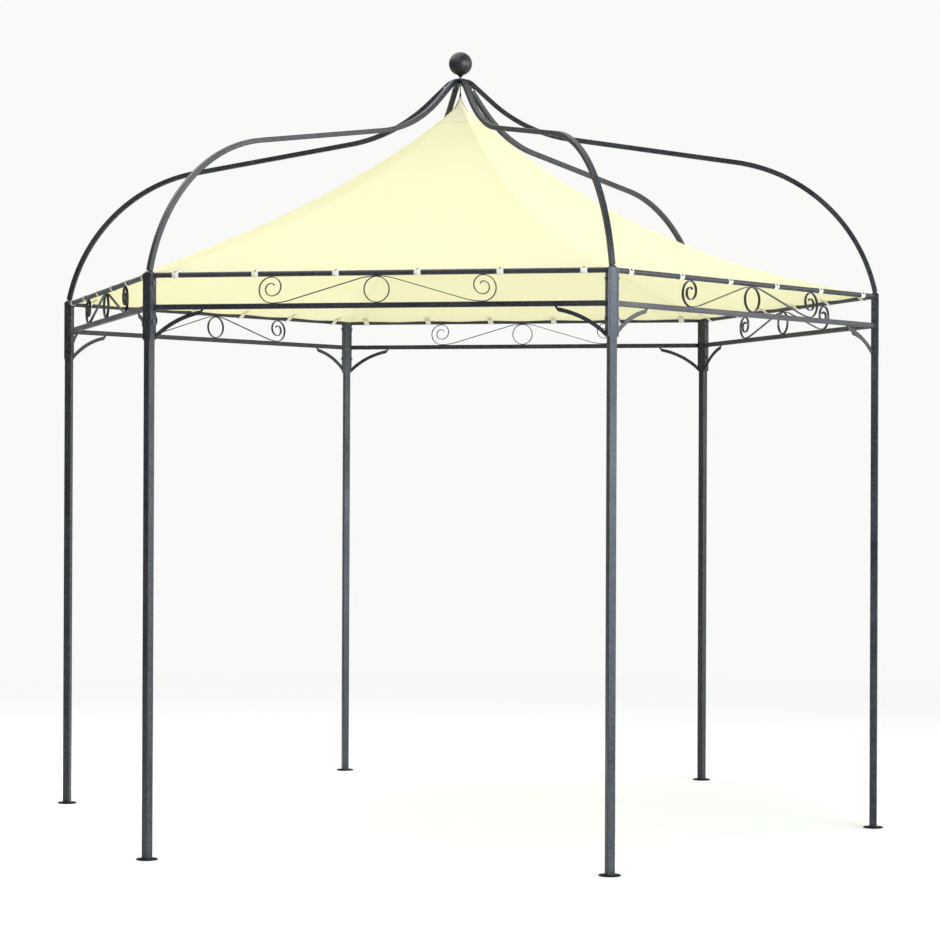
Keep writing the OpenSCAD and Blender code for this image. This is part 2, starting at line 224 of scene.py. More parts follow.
@dataclass(frozen=True)
class PowderCoat:
    """A baked paint on steel, with a fine grain and a soft mottle.

    Attributes:
        name: The material's name.
        dark, light: Colours of the hollows and the crests of the grain.
        gloss: Lowest and highest roughness.
        grain: Grains to a metre.
        bump: Strength of the grain's relief.
        shine: Strength of the reflection.
    """

    name: str
    dark: Colour
    light: Colour
    gloss: Span
    grain: float = 180.0
    bump: float = 0.5
    shine: float = 0.5

    def material(self) -> Material:
        """Builds the finish's nodes.

        Returns:
            The material.
        """
        mottle_size, fine, contrast, depth = 30, 0.75, (0.4, 0.62), 0.4 * MM
        material, graph = new_material(self.name)
        place = graph.node("ShaderNodeTexCoord").outputs["Object"]
        grain = graph.cloud(place, self.grain, 2.0)
        mottle = graph.cloud(place, self.grain / mottle_size, 3.0)
        fleck = graph.calc("ADD", graph.calc("MULTIPLY", grain, fine),
                           graph.calc("MULTIPLY", mottle, 1 - fine))
        colour = graph.tint(graph.spread(fleck, contrast), self.dark, self.light)
        rough = graph.spread(mottle, NOISE_SPAN, self.gloss)
        relief = graph.node("ShaderNodeBump", Strength=self.bump, Distance=depth, Height=grain)
        coat = graph.node("ShaderNodeBsdfPrincipled", Base_Color=colour, Roughness=rough,
                          Specular_IOR_Level=self.shine, Normal=relief.outputs["Normal"])
        graph.node("ShaderNodeOutputMaterial", Surface=coat.outputs["BSDF"])
        return material


@dataclass(frozen=True)
class Plating:
    """A thin metal plating on small hardware.

    Attributes:
        name: The material's name.
        colour: Colour of the metal.
        tarnish: Colour of its dull spots.
        gloss: Lowest and highest roughness.
    """

    name: str
    colour: Colour
    tarnish: Colour
    gloss: Span = (0.25, 0.45)

    def material(self) -> Material:
        """Builds the finish's nodes.

        Returns:
            The material.
        """
        per_metre, contrast, metallic = 260.0, (0.4, 0.65), 0.9
        material, graph = new_material(self.name)
        place = graph.node("ShaderNodeTexCoord").outputs["Object"]
        spots = graph.cloud(place, per_metre, 3.0)
        colour = graph.tint(graph.spread(spots, contrast), self.colour, self.tarnish)
        rough = graph.spread(spots, NOISE_SPAN, self.gloss)
        metal = graph.node("ShaderNodeBsdfPrincipled", Base_Color=colour, Metallic=metallic, Roughness=rough)
        graph.node("ShaderNodeOutputMaterial", Surface=metal.outputs["BSDF"])
        return material


@dataclass(frozen=True)
class Cloth:
    """A plain-woven fabric that lets some light through, read from a UV map in metres.

    Attributes:
        name: The material's name.
        colour: Colour of one ply.
        doubled: Colour where two plies are sewn together.
        through: Share of the light that passes through.
        thread: Distance between threads in metres.
        relief: Strength of the weave's bump.
    """

    name: str
    colour: Colour
    doubled: Colour
    through: float
    thread: float = 1.1 * MM
    relief: float = 0.25

    def material(self) -> Material:
        """Builds the finish's nodes.

        Returns:
            The material.
        """
        clouds, cloudy, sewn, depth, rough, shine = 2.2, 0.2, 0.4, 0.3 * MM, 0.9, 0.2
        material, graph = new_material(self.name)
        flat = graph.node("ShaderNodeUVMap", {"uv_map": UV_MAP}).outputs["UV"]
        plies = graph.node("ShaderNodeAttribute", {"attribute_name": PLIES}).outputs["Fac"]
        bands = 2 * math.pi / (WAVE_RATE * self.thread)
        waves = [graph.node("ShaderNodeTexWave", {"bands_direction": way}, Vector=flat, Scale=bands)
                 for way in ("X", "Y")]
        weave = graph.calc("MAXIMUM", *(wave.outputs["Fac"] for wave in waves))
        place = graph.node("ShaderNodeTexCoord").outputs["Object"]
        cloud = graph.spread(graph.cloud(place, clouds, 4.0), (0.35, 0.7), (0, cloudy))
        share = graph.calc("ADD", cloud, graph.calc("MULTIPLY", plies, sewn))
        colour = graph.tint(share, self.colour, self.doubled)
        relief = graph.node("ShaderNodeBump", Strength=self.relief, Distance=depth,
                            Height=weave).outputs["Normal"]
        front = graph.node("ShaderNodeBsdfPrincipled", Base_Color=colour, Roughness=rough,
                           Specular_IOR_Level=shine, Normal=relief)
        lit = graph.node("ShaderNodeBsdfTranslucent", Color=colour, Normal=relief)
        both = graph.blend(self.through, front.outputs["BSDF"], lit.outputs["BSDF"])
        graph.node("ShaderNodeOutputMaterial", Surface=both)
        return material


GRAPHITE = PowderCoat("graphite_powder_coat", (0.002, 0.0024, 0.0035), (0.027, 0.031, 0.04),
                      (0.3, 0.5), 120, 0.7)
BALL_BLACK = PowderCoat("satin_black_coat", (0.003, 0.0033, 0.004), (0.009, 0.0095, 0.011),
                        (0.38, 0.46), 500, 0.12, 0.55)
FOOT_DULL = PowderCoat("dull_foot_coat", (0.004, 0.0045, 0.0055), (0.02, 0.022, 0.026),
                       (0.62, 0.75), shine=0.06)
HOOK_STEEL = PowderCoat("dark_hook_steel", (0.002, 0.002, 0.0025), (0.006, 0.006, 0.007),
                        (0.5, 0.65), shine=0.2)
BRIGHT_ZINC = Plating("bright_zinc", (0.78, 0.79, 0.81), (0.55, 0.56, 0.6))
DARK_ZINC = Plating("dark_zinc", (0.13, 0.135, 0.145), (0.06, 0.064, 0.07))
STUD_BRONZE = Plating("stud_bronze", (0.024, 0.02, 0.017), (0.012, 0.011, 0.01), (0.5, 0.65))
CREAM = Cloth("cream_canopy_cloth", (0.925, 0.905, 0.695), (0.905, 0.875, 0.645), 0.61)
# The tip patch's cream is painted paler than the canopy's: painted light that offsets the shade the doubled
# cloth at the tip would otherwise show.
PATCH_PAINTED_BRIGHT = Cloth("tip_patch_cloth_painted_bright", (0.985, 0.97, 0.79), (0.95, 0.88, 0.76), 0.53)
WEBBING = Cloth("off_white_webbing", (0.84, 0.80, 0.66), (0.80, 0.72, 0.60), 0.1, 1.6 * MM, 0.5)
THREAD = Cloth("sewing_thread", (0.88, 0.83, 0.60), (0.8, 0.74, 0.5), 0.1, 0.8 * MM, 0.2)


def mesh_object(name: str, points: Sequence, faces: Sequence,
                material: Material | None, edges: Sequence = ()) -> Object:
    """Makes a smooth-shaded mesh object at the origin.

    Args:
        name: Name of the object and its mesh.
        points: The vertices, in metres.
        faces: The faces, as lists of vertex numbers.
        material: The finish, or None.
        edges: Loose edges, as pairs of vertex numbers.

    Returns:
        The new object, linked to the scene.
    """
    mesh = bpy.data.meshes.new(name)
    mesh.from_pydata([tuple(point) for point in points], list(edges), list(faces))
    if faces:
        mesh.shade_smooth()
    if material is not None:
        mesh.materials.append(material)
    made = bpy.data.objects.new(name, mesh)
    bpy.context.scene.collection.objects.link(made)
    return made


def lay_out(cloth: Object, corners: Sequence[Span], plies: np.ndarray) -> None:
    """Gives a cloth its UV map and its plies attribute.

    Args:
        cloth: The cloth's object.
        corners: Place on the flat cloth, in metres, of every face corner.
        plies: 1 at the points on a second ply and 0 at the others.
    """
    layer = cloth.data.uv_layers.new(name=UV_MAP)
    layer.data.foreach_set("uv", np.array(corners, np.float32).ravel())
    sewn = cloth.data.attributes.new(PLIES, "FLOAT", "POINT")
    sewn.data.foreach_set("value", plies.astype(np.float32))


class PieceTree:
    """A Geometry Nodes tree that sets a small piece on every point."""

    def __init__(self, name: str, labels: Sequence[str]) -> None:
        """Makes the tree with its named inputs.

        Args:
            name: The tree's name.
            labels: Names of its measures.
        """
        self.tree = bpy.data.node_groups.new(name, "GeometryNodeTree")
        self.graph = Graph(self.tree)
        sockets = [("Geometry", "INPUT", "Geometry"), *((label, "INPUT", "Float") for label in labels),
                   ("Finish", "INPUT", "Material"), ("Geometry", "OUTPUT", "Geometry")]
        for label, way, kind in sockets:
            self.tree.interface.new_socket(label, in_out=way, socket_type=f"NodeSocket{kind}")
        self.given = self.graph.node("NodeGroupInput").outputs

    def scaled(self, shape: NodeSocket, x: object, y: object, z: object) -> NodeSocket:
        """Scales a shape.

        Args:
            shape: The shape's mesh.
            x: Scale along its X axis.
            y: Scale along its Y axis.
            z: Scale along its Z axis.

        Returns:
            The scaled mesh.
        """
        size = self.graph.node("ShaderNodeCombineXYZ", X=x, Y=y, Z=z).outputs["Vector"]
        made = self.graph.node("GeometryNodeTransform", Geometry=shape, Scale=size)
        return made.outputs["Geometry"]

    def place(self, points: NodeSocket, piece: NodeSocket, axis: str, way: NodeSocket) -> None:
        """Sets a piece on the points, gives it the finish and ends the tree.

        Args:
            points: The points or curves.
            piece: The piece's mesh.
            axis: The piece's axis that is turned.
            way: The direction that it is turned to at a point.
        """
        graph = self.graph
        turn = graph.node("FunctionNodeAlignRotationToVector", {"axis": axis}, Vector=way)
        placed = graph.node("GeometryNodeInstanceOnPoints", Points=points, Instance=piece,
                            Rotation=turn.outputs["Rotation"])
        real = graph.node("GeometryNodeRealizeInstances", Geometry=placed.outputs["Instances"])
        dressed = graph.node("GeometryNodeSetMaterial", Geometry=real.outputs["Geometry"],
                             Material=self.given["Finish"])
        graph.node("NodeGroupOutput", Geometry=dressed.outputs["Geometry"])

    def grow(self, obj: Object, settings: dict[str, object]) -> Object:
        """Runs the tree on an object and keeps the result as its plain mesh.

        Args:
            obj: The object that holds the points or lines.
            settings: Values of the tree's inputs, by name.

        Returns:
            The same object, without the modifier.
        """
        runs = obj.modifiers.new(self.tree.name, "NODES")
        runs.node_group = self.tree
        for item in self.tree.interface.items_tree:
            if item.in_out == "INPUT" and item.name in settings:
                runs[item.identifier] = settings[item.name]
        graph = bpy.context.evaluated_depsgraph_get()
        grown = bpy.data.meshes.new_from_object(obj.evaluated_get(graph))
        obj.modifiers.clear()
        grown.name = obj.name
        obj.data = grown
        return obj


class Outline(Enum):
    """The outline of a piece of hardware's head, by its number of corners."""

    HEX = 6
    DOME = 20


class HardwareTree(PieceTree):
    """A tree that sets a washer and a hexagon or dome head on every point."""

    WASHER_CORNERS = 20
    DOME_RINGS = 8
    TAPER = 0.93

    def __init__(self, name: str, outline: Outline) -> None:
        """Builds the tree.

        Args:
            name: The tree's name.
            outline: The outline of the head.
        """
        super().__init__(name, ("Head radius", "Head height", "Washer radius", "Washer thickness"))
        graph, given = self.graph, self.given
        washer = graph.node("GeometryNodeMeshCylinder", Vertices=self.WASHER_CORNERS,
                            Radius=given["Washer radius"], Depth=given["Washer thickness"])
        head = self.hexagon() if outline is Outline.HEX else self.dome()
        joined = graph.node("GeometryNodeJoinGeometry")
        for part in (washer.outputs["Mesh"], head):
            graph.feed(joined.inputs["Geometry"], part)
        facing = graph.node("GeometryNodeInputNamedAttribute", {"data_type": "FLOAT_VECTOR"},
                            Name=FACING).outputs["Attribute"]
        self.place(given["Geometry"], joined.outputs["Geometry"], "Z", facing)

    def hexagon(self) -> NodeSocket:
        """Builds a slightly tapered hexagon on the washer.

        Returns:
            The head's mesh.
        """
        graph, given = self.graph, self.given
        radius = given["Head radius"]
        top = graph.calc("MULTIPLY", radius, self.TAPER)
        head = graph.node("GeometryNodeMeshCone", Vertices=Outline.HEX.value, Radius_Bottom=radius,
                          Radius_Top=top, Depth=given["Head height"])
        lift = graph.calc("MULTIPLY", given["Washer thickness"], 0.5)
        seat = graph.node("ShaderNodeCombineXYZ", Z=lift).outputs["Vector"]
        made = graph.node("GeometryNodeTransform", Geometry=head.outputs["Mesh"], Translation=seat)
        return made.outputs["Geometry"]

    def dome(self) -> NodeSocket:
        """Builds a flattened ball, half sunk in the washer.

        Returns:
            The head's mesh.
        """
        graph, given = self.graph, self.given
        radius = given["Head radius"]
        ball = graph.node("GeometryNodeMeshUVSphere", Segments=Outline.DOME.value,
                          Rings=self.DOME_RINGS, Radius=radius).outputs["Mesh"]
        squash = graph.calc("DIVIDE", given["Head height"], radius)
        return self.scaled(ball, 1.0, 1.0, squash)


class StitchTree(PieceTree):
    """A tree that lays a row of stitches along every line."""

    def __init__(self, name: str) -> None:
        """Builds the tree.

        Args:
            name: The tree's name.
        """
        super().__init__(name, ("Pitch", "Length", "Thickness"))
        graph, given = self.graph, self.given
        line = graph.node("GeometryNodeMeshToCurve", Mesh=given["Geometry"])
        even = graph.node("GeometryNodeResampleCurve", {"mode": "LENGTH"},
                          Curve=line.outputs["Curve"], Length=given["Pitch"])
        bead = graph.node("GeometryNodeMeshIcoSphere", Radius=0.5, Subdivisions=1)
        thick = given["Thickness"]
        stitch = self.scaled(bead.outputs["Mesh"], given["Length"], thick, thick)
        tangent = graph.node("GeometryNodeInputTangent").outputs["Tangent"]
        self.place(even.outputs["Curve"], stitch, "X", tangent)


@dataclass(frozen=True)
class Hardware:
    """A kind of bolt, nut, screw or stud.

    Attributes:
        outline: The head's outline.
        head_r, head_h: Radius and height of the head.
        washer_r, washer_t: Radius and thickness of the washer.
        seat: Height of the washer's middle above what it sits on.
    """

    outline: Outline
    head_r: float
    head_h: float
    washer_r: float
    washer_t: float
    seat: float

    def build(self, name: str, points: Sequence[Vector], facings: Sequence[Vector], finish: Plating) -> Object:
        """Sets a washer and a head on every point.

        Args:
            name: The object's name.
            points: Where the middle of each washer is.
            facings: The direction that each head faces.
            finish: The plating.

        Returns:
            The hardware as one mesh.
        """
        made = mesh_object(name, points, [], None)
        facing = made.data.attributes.new(FACING, "FLOAT_VECTOR", "POINT")
        ways = np.array([tuple(way) for way in facings], np.float32)
        facing.data.foreach_set("vector", ways.ravel())
        sizes = {"Head radius": self.head_r, "Head height": self.head_h,
                 "Washer radius": self.washer_r, "Washer thickness": self.washer_t,
                 "Finish": finish.material()}
        return HardwareTree(f"{name}_tree", self.outline).grow(made, sizes)


PRESS_STUD = Hardware(Outline.DOME, 4.4 * MM, 1.8 * MM, 5.2 * MM, 0.8 * MM, 0.4 * MM)
PANEL_BOLT = Hardware(Outline.HEX, 6.8 * MM, 5 * MM, 8.2 * MM, 1.4 * MM, 0.7 * MM)
NECK_BOLT = Hardware(Outline.HEX, 5 * MM, 4 * MM, 6 * MM, 1.2 * MM, 0.6 * MM)
CROWN_SCREW = Hardware(Outline.DOME, 4.8 * MM, 3.4 * MM, 5.4 * MM, 0.8 * MM, 0.3 * MM)
CROWN_NUT = Hardware(Outline.HEX, 4.8 * MM, 3.4 * MM, 5.4 * MM, 0.8 * MM, 0.3 * MM)


@dataclass
class SteelFrame:
    """The posts, side panels, ribs and crown, which keep the frame's own shapes.

    Attributes:
        ball, hook, feet: Nodes of the crown's ball, the canopy's hook and the foot plates.
        soft: Start of the names of the canopy's nodes, which the hook shares.
    """

    ball: str = "ball_finial"
    hook: str = "canopy_hook"
    feet: str = "foot_plates"
    soft: str = "canopy_"

    def dress(self) -> int:
        """Gives every steel node its finish.

        Returns:
            How many nodes were dressed.
        """
        own = {self.ball: BALL_BLACK.material(), self.hook: HOOK_STEEL.material(),
               self.feet: FOOT_DULL.material()}
        graphite = GRAPHITE.material()
        count = 0
        for name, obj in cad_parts.items():
            if name.startswith(self.soft) and name not in own:
                continue
            obj.data.materials.clear()
            obj.data.materials.append(own.get(name, graphite))
            count += 1
        return count


@dataclass(frozen=True)
class HipSag:
    """How far a canopy's hip hangs below the straight line from hem to tip.

    Attributes:
        depth: Greatest sag in metres.
        toe: Power of the curve at the tip; a low one makes the tip a sharp peak.
        heel: Power of the curve at the hem.
    """

    depth: float
    toe: float
    heel: float

    def at(self, reach: np.ndarray) -> np.ndarray:
        """Works out the sag along the hip.

        Args:
            reach: Share of the way from the tip to the hem.

        Returns:
            The sag in metres.
        """
        peak = self.toe / (self.toe + self.heel)
        most = peak**self.toe * (1 - peak) ** self.heel
        return self.depth * reach**self.toe * (1 - reach) ** self.heel / most


@dataclass
class Canopy:
    """The hung canopy: one sheet of six sewn gores, its tip patch, tie loops, strap and stitches.

    Attributes:
        hem_inset, hem_rise: Place of the hem inside and above the rail's centre line.
        tip_rise: Height of the cloth's tip above the frame's own tip.
        peak, peak_r: Height and radius of the small point that the strap pulls up at the tip.
        cloth: Thickness of the cloth.
        dip: Sag of a gore's middle below its two hips.
        scallop: Pull of the hem between two loops.
        pull_in: How far in from the hem that pull reaches.
        ripples: Waves to a metre and height of each faint ripple.
        calm_hem, calm_tip: Heights over which they die away at the hem and the tip.
        seam: Width of the sewn hips and of the hem.
        patch: Reach of the tip patch, as a share of the way to the hem.
        loops: Number of tie loops on a side.
        pitch: Distance between two loops.
        strap_w, strap_t: Width of a loop's strap and thickness of every strap.
        tab, under_tab: Lengths of a loop's tabs on top of and below the cloth.
        hook_r: Radius of the tip strap's bend over the hook.
        foot_lift: Height of the tip strap's feet over the cloth.
        stud_lean: Angle above level, in degrees, at which the studs face.
        across: Faces across a gore.
        hips: Sag of each hip.
    """

    hem_inset: float = 20 * MM
    hem_rise: float = 5 * MM
    tip_rise: float = 1 * MM
    peak: float = 32 * MM
    peak_r: float = 20 * MM
    cloth: float = 0.8 * MM
    dip: float = 14 * MM
    scallop: float = 9 * MM
    pull_in: float = 0.11
    ripples: tuple[Span, ...] = ((2.1, 4 * MM), (6.5, 1.2 * MM))
    calm_hem: float = 0.12
    calm_tip: float = 0.15
    seam: float = 22 * MM
    patch: float = 0.065
    loops: int = 6
    pitch: float = 309 * MM
    strap_w: float = 25 * MM
    strap_t: float = 1.8 * MM
    tab: float = 42 * MM
    under_tab: float = 12 * MM
    hook_r: float = 2.6 * MM
    foot_lift: float = 2.6 * MM
    stud_lean: dict[Side, float] = field(default_factory=lambda: {
        side: 72.0 if side is Side.FRONT else 30.0 for side in Side})
    across: int = 48
    hips: dict[Corner, HipSag] = field(default_factory=lambda: {
        Corner.RIGHT: HipSag(157 * MM, 0.95, 1.10),
        Corner.BACK_RIGHT: HipSag(137 * MM, 0.95, 1.15),
        Corner.BACK_LEFT: HipSag(105 * MM, 0.90, 1.30),
        Corner.LEFT: HipSag(92 * MM, 0.82, 1.45),
        Corner.FRONT_LEFT: HipSag(105 * MM, 0.90, 1.30),
        Corner.FRONT_RIGHT: HipSag(137 * MM, 0.95, 1.15),
    })

    def __post_init__(self) -> None:
        """Takes the rails' place and the tip's height from the frame."""
        low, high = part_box(node_name("upper_rail", Side.FRONT))
        self.rail_r = (high.z - low.z) / 2
        self.rail_z = (high.z + low.z) / 2
        self.apothem = -(low.y + high.y) / 2
        self.hem_z = self.rail_z + self.hem_rise
        self.hem_a = self.apothem - self.hem_inset
        self.tip_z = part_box(node_name("canopy", Side.FRONT))[1].z + self.tip_rise
        self.gore = math.hypot(self.hem_a, self.tip_z - self.hem_z)

    def surface(self, side: Side, along: np.ndarray, reach: np.ndarray) -> np.ndarray:
        """Places points on the middle of the cloth.

        Args:
            side: The gore's side.
            along: Place across the gore, from -1 at its first hip to 1 at its second.
            reach: Share of the way from the tip to the hem.

        Returns:
            The points, in metres, on the last axis.
        """
        peak_power = 1.8
        first = self.hips[Corner(side.value - HALF_SIDE)]
        second = self.hips[Corner((side.value + HALF_SIDE) % 360)]
        out, way = axes(side)
        share = (along + 1) / 2
        sag = (1 - share) * first.at(reach) + share * second.at(reach)
        sag = sag + self.dip * 4 * reach * (1 - reach) * (1 - along**2)
        far = self.hem_a * reach
        place = along * far * math.tan(HALF_TURN)
        slack = 0.5 + 0.5 * np.cos(2 * math.pi * place / self.pitch)
        pull = self.scallop * slack * np.exp(-(1 - reach) * self.hem_a / self.pull_in)
        far = far - pull
        height = self.hem_z + (self.tip_z - self.hem_z) * (1 - reach) - sag - 0.5 * pull
        height = height + self.peak * np.clip(1 - far / self.peak_r, 0, 1) ** peak_power
        return far[..., None] * out + place[..., None] * way + height[..., None] * np.array(UP)

    def lifted(self, side: Side, along: np.ndarray, reach: np.ndarray, lift: float) -> np.ndarray:
        """Places points above or below the cloth, at a distance along its normal.

        Args:
            side: The gore's side.
            along: Place across the gore, from -1 to 1.
            reach: Share of the way from the tip to the hem.
            lift: Distance above the middle of the cloth.

        Returns:
            The points, in metres, on the last axis.
        """
        step = 1e-3
        base = self.surface(side, along, reach)
        downhill = self.surface(side, along, reach + step) - self.surface(side, along, reach - step)
        level = self.surface(side, along + step, reach) - self.surface(side, along - step, reach)
        normal = np.cross(downhill, level)
        normal *= np.sign(normal[..., 2:]) / np.linalg.norm(normal, axis=-1, keepdims=True)
        return base + lift * normal

    def ripple(self, point: Vector) -> float:
        """Works out the ripples, which die away at the hem and the tip.

        Args:
            point: A point on the cloth.

        Returns:
            The ripples' height there.
        """
        height = sum(noise.noise(point * rate) * size for rate, size in self.ripples)
        from_hem = min(1.0, max(0.0, (point.z - self.hem_z) / self.calm_hem))
        from_tip = min(1.0, (self.tip_z - point.z) / self.calm_tip)
        return height * max(0.0, from_hem * from_tip)

    def sheet(self, name: str, last: float, rows: int, lift: float, seam: float, finish: Material) -> Object:
        """Builds a closed ring of gores round the tip as one sheet.

        Args:
            name: The object's name.
            last: Reach of the outer edge.
            rows: Faces from the first ring to the edge.
            lift: Distance above the middle of the canopy's cloth.
            seam: Width of its sewn hips and of its edge.
            finish: The cloth's material.

        Returns:
            The sheet, with its UV map in metres and its plies attribute.
        """
        first, even, tip_slope = 0.002, 0.2, 0.35
        columns = SIDES * self.across
        steps = np.linspace(0, 1, rows + 1)
        eased = even * steps + (1 - even) * np.sin(steps * math.pi / 2) ** 2
        reaches = first + (last - first) * eased
        along = np.linspace(-1, 1, self.across + 1)[:-1]
        u, reach = np.meshgrid(along, np.minimum(reaches, 0.999))
        grid = np.hstack([self.lifted(side, u, reach, lift) for side in Side])
        points = [Vector(point) for ring in grid for point in ring]
        for point in points:
            point.z += self.ripple(point)
        rise = self.hem_a * first * tip_slope
        points.append(UP * (max(point.z for point in points[:columns]) + rise))

        def flat(column: int, end: int, at: float) -> Span:
            """Finds a face corner's place on the flat gores.

            Args:
                column: Number of the face round the sheet.
                end: 0 for the face's first side and 1 for its second.
                at: Reach of the corner.

            Returns:
                The place in metres.
            """
            number, step = divmod(column, self.across)
            place = along[step] + 2 * end / self.across
            return place * at * self.hem_a * math.tan(HALF_TURN) + STRIP * number, at * self.gore

        faces, corners = [], []
        for row in range(rows):
            low, high = row * columns, (row + 1) * columns
            for column in range(columns):
                after = (column + 1) % columns
                faces.append((low + column, high + column, high + after, low + after))
                around = ((0, row), (0, row + 1), (1, row + 1), (1, row))
                corners += [flat(column, end, reaches[ring]) for end, ring in around]
        for column in range(columns):
            faces.append((len(points) - 1, column, (column + 1) % columns))
            around = ((0, 0.0), (0, reaches[0]), (1, reaches[0]))
            corners += [flat(column, end, at) for end, at in around]
        made = mesh_object(name, points, faces, finish)
        lay_out(made, corners, self.plies(along, reaches, seam))
        thick = made.modifiers.new("cloth thickness", "SOLIDIFY")
        thick.thickness = self.cloth
        thick.offset = 0
        return made

    def plies(self, along: np.ndarray, reaches: np.ndarray, seam: float) -> np.ndarray:
        """Marks the sewn hips and the edge.

        Args:
            along: Places across a gore.
            reaches: Reaches of the rings.
            seam: Width of the seams.

        Returns:
            1 on the seams and 0 elsewhere, for every point and the tip.
        """
        u, reach = np.meshgrid(np.tile(along, SIDES), reaches)
        to_hip = (1 - np.abs(u)) * reach * self.hem_a * math.sin(HALF_TURN)
        to_hem = (reaches[-1] - reach) * self.hem_a
        near = np.minimum(to_hip, to_hem)
        steep = 1.5
        sewn = np.clip(steep - near / seam * steep, 0, 1)
        return np.append(sewn.ravel(), 1.0)

    def loop_places(self) -> list[tuple[Side, float]]:
        """Returns the side and the distance from its middle of every tie loop."""
        middle = (self.loops - 1) / 2
        return [(side, (i - middle) * self.pitch) for side in Side for i in range(self.loops)]

    def strap_path(self, side: Side, place: float) -> list[np.ndarray]:
        """Traces a loop from the top of the cloth round the rail to its underside.

        Args:
            side: The loop's side.
            place: Distance of the loop from the side's middle.

        Returns:
            The points of the strap's middle line.
        """
        tab_end, tab_steps, wrap_steps = 0.997, 6, 22
        out, way = axes(side)
        up = np.array(UP)
        centre = self.apothem * out + place * way + self.rail_z * up
        clear = self.cloth / 2 + self.strap_t / 2 + FIT
        band = self.rail_r + FIT + self.strap_t / 2
        tabs = []
        for length, lift in ((self.tab, clear), (self.under_tab, -clear)):
            reaches = np.linspace(1 - length / self.hem_a, tab_end, tab_steps)
            along = place / (reaches * self.hem_a * math.tan(HALF_TURN))
            tabs.append(self.lifted(side, along, reaches, lift))
        upper, lower = tabs[0], tabs[1][::-1]

        def turn_of(point: np.ndarray, sign: int) -> float:
            """Finds where a line from a point touches the band.

            Args:
                point: The end of a tab.
                sign: Which of the two touching lines it is.

            Returns:
                The angle there.
            """
            away = point - centre
            flat = np.array((away @ out, away[2]))
            turn = math.atan2(flat[1], flat[0]) % (2 * math.pi)
            return turn + sign * math.acos(band / np.linalg.norm(flat))

        start, end = turn_of(upper[-1], -1), turn_of(lower[0], 1) - 2 * math.pi
        wrap = [centre + band * (math.cos(turn) * out + math.sin(turn) * up)
                for turn in np.linspace(start, end, wrap_steps)]
        return [*upper, *wrap, *lower]

    def strap(self, path: list[np.ndarray], way: np.ndarray, width: float,
              start: int) -> tuple[list, list, list]:
        """Sweeps a flat strap with eased edges along a path.

        Args:
            path: Points of the strap's middle line.
            way: Direction of the strap's width.
            width: The strap's width.
            start: Number of the first vertex.

        Returns:
            The vertices, the faces and a UV place in metres for every face corner.
        """
        half, thin, ease = width / 2, self.strap_t / 2, 0.5 * MM
        profile = [(half - ease, thin), (half, thin - ease), (half, ease - thin), (half - ease, -thin),
                   (ease - half, -thin), (-half, ease - thin), (-half, thin - ease), (ease - half, thin)]
        size = len(profile)
        points, faces, flat, runs = [], [], [], []
        run = 0.0
        for i, point in enumerate(path):
            ahead = path[min(i + 1, len(path) - 1)] - path[max(i - 1, 0)]
            normal = np.cross(ahead / np.linalg.norm(ahead), way)
            run += float(np.linalg.norm(point - path[i - 1])) if i else 0.0
            runs.append(run)
            points += [point + a * way + b * normal for a, b in profile]
        for i in range(len(path) - 1):
            ring = start + i * size
            for j in range(size):
                k = (j + 1) % size
                faces.append((ring + j, ring + k, ring + size + k, ring + size + j))
                flat += [(profile[j][0], runs[i]), (profile[k][0], runs[i]),
                         (profile[k][0], runs[i + 1]), (profile[j][0], runs[i + 1])]
        last = start + (len(path) - 1) * size
        faces.append(tuple(start + j for j in reversed(range(size))))
        faces.append(tuple(last + j for j in range(size)))
        flat += [(profile[j][0], runs[0]) for j in reversed(range(size))]
        flat += [(profile[j][0], runs[-1]) for j in range(size)]
        return points, faces, flat

    def webbing(self, name: str, straps: list[tuple[list, np.ndarray, float]], finish: Material) -> Object:
        """Joins straps into one piece.

        Args:
            name: The object's name.
            straps: The path, width direction and width of each strap.
            finish: The webbing's material.

        Returns:
            The new object.
        """
        points, faces, flat = [], [], []
        for path, way, width in straps:
            more = self.strap(path, way, width, len(points))
            points += more[0]
            faces += more[1]
            flat += more[2]
        made = mesh_object(name, points, faces, finish)
        lay_out(made, flat, np.zeros(len(points)))
        return made

    def build_loops(self, finish: Material) -> Object:
        """Builds the tie loops round the upper rails.

        Args:
            finish: The webbing's material.

        Returns:
            The loops.
        """
        straps = [(self.strap_path(side, place), axes(side)[1], self.strap_w)
                  for side, place in self.loop_places()]
        return self.webbing("tie_loops", straps, finish)

    def build_tip_strap(self, finish: Material) -> Object:
        """Builds the strap that hangs the tip from the hook's eye.

        Args:
            finish: The webbing's material.

        Returns:
            The strap.
        """
        low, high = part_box("canopy_tip_strap")
        outer, inner, bend, bend_steps = 1.25, 0.9, 1.2, 9
        axle = high.z - self.strap_t / 2 - self.hook_r
        ends = high.x / self.hem_a * np.array([outer, inner])
        legs = []
        for side in (Side.FRONT_LEFT, Side.BACK_RIGHT):
            foot = self.lifted(side, np.array([-1.0, -1.0]), ends, self.foot_lift)
            legs.append([np.array((point[0], 0.0, point[2])) for point in foot])
        top = [np.array((self.hook_r * math.sin(turn), 0.0, axle + self.hook_r * math.cos(turn)))
               for turn in np.linspace(-bend, bend, bend_steps)]
        path = [*legs[0], *top, *reversed(legs[1])]
        across = np.array((0.0, 1.0, 0.0))
        return self.webbing("tip_strap", [(path, across, high.y - low.y)], finish)

